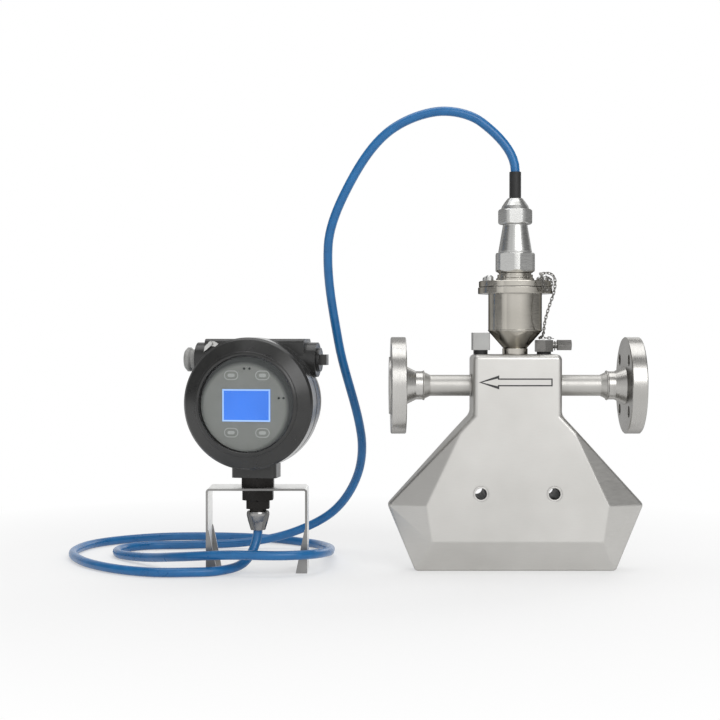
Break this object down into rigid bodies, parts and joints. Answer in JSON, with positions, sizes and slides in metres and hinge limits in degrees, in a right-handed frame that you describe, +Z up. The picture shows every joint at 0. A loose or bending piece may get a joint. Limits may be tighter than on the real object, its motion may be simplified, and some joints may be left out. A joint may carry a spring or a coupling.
{
  "type": "coriolis flow meter",
  "caption": "Remote-mount Coriolis mass flow meter: flanged twin-tube sensor in a pressed steel case, joined by a loose cable to a round display transmitter on a sheet bracket.",
  "frame": {"origin": "centre of the flat base of the sensor case, on the floor", "axes": "+X along the process pipe towards the inlet flange, +Y towards the back, +Z up; the display faces -Y, turned 10 degrees to the left"},
  "size_m": [0.7035, 0.3298, 0.5515],
  "materials": {
    "case_steel": "satin, pressed and brushed",
    "turned_steel": "turned, bright",
    "bright_steel": "polished",
    "bracket_steel": "dull bare sheet",
    "inner_steel": "as made",
    "black_paint": "semi-gloss black paint on a casting",
    "arrow_ink": "printed film",
    "black_rubber": "matt",
    "cable_jacket": "smooth blue jacket",
    "glass": "clear",
    "display_grey": "flat grey",
    "lcd_blue": "lit blue screen",
    "grey_plastic": "light grey",
    "copper": "enamelled wire and contacts",
    "board_green": "lacquered board",
    "gland_metal": "plated"
  },
  "bodies": {
    "meter": {"front_case_shell": "case_steel", "rear_case_shell": "case_steel", "case_through_sleeves": "case_steel", "flow_arrow": "arrow_ink", "inlet_flange": "turned_steel", "outlet_flange": "turned_steel", "inlet_pipe": "turned_steel", "outlet_pipe": "turned_steel", "inlet_manifold": "inner_steel", "outlet_manifold": "inner_steel", "front_flow_tube": "inner_steel", "rear_flow_tube": "inner_steel", "brace_plates": "inner_steel", "drive_coil": "copper", "drive_magnet": "inner_steel", "pickoff_coils": "copper", "pickoff_magnets": "inner_steel", "temperature_sensor": "copper", "sensor_wiring": "copper", "purge_plug": "bright_steel", "purge_plug_gasket": "black_rubber", "purge_valve_body": "bright_steel", "purge_valve_gasket": "black_rubber", "cap_chain": "bright_steel", "connector_cup": "turned_steel", "receptacle_gasket": "black_rubber", "receptacle_flange": "turned_steel", "receptacle_screws": "bright_steel", "receptacle_insert": "black_rubber", "receptacle_pins": "copper", "plug_body": "bright_steel", "plug_insert": "black_rubber", "plug_clamp_nut": "bright_steel", "plug_seal": "black_rubber", "cable_boot": "black_rubber", "signal_cable": "cable_jacket", "gland_seal": "black_rubber", "gland_nut": "gland_metal", "gland_body": "gland_metal", "neck_adaptor": "gland_metal", "bracket_lock_nut": "gland_metal", "bracket": "bracket_steel", "transmitter_housing": "black_paint", "front_cover_seal": "black_rubber", "display_plate": "display_grey", "lcd_panel": "lcd_blue", "display_board": "board_green", "main_board": "board_green", "board_standoffs": "inner_steel", "terminal_block": "board_green", "rear_cover_seal": "black_rubber", "left_conduit_plug": "grey_plastic", "right_conduit_plug": "black_paint", "cover_lock": "bright_steel"},
    "window_cover": {"front_cover": "black_paint", "window_glass": "glass", "window_retaining_ring": "black_paint"},
    "rear_cap": {"rear_cover": "black_paint"},
    "nut": {"coupling_nut": "bright_steel"},
    "valve_cap": {"purge_valve_cap": "bright_steel"}
  },
  "joints": [
    {"name": "window_cover_turn", "type": "hinge", "parent": "meter", "child": "window_cover", "pos_m": [-0.306, 0, 0.2], "axis": [-0.1736, -0.9848, 0], "continuous": true},
    {"name": "rear_cap_turn", "type": "hinge", "parent": "meter", "child": "rear_cap", "pos_m": [-0.306, 0, 0.2], "axis": [0.1736, 0.9848, 0], "continuous": true},
    {"name": "coupling_nut_turn", "type": "hinge", "parent": "meter", "child": "nut", "pos_m": [0, 0, 0.366], "axis": [0, 0, 1], "continuous": true},
    {"name": "valve_cap_turn", "type": "hinge", "parent": "meter", "child": "valve_cap", "pos_m": [0.05, 0, 0.268], "axis": [1, 0, 0], "continuous": true}
  ]
}
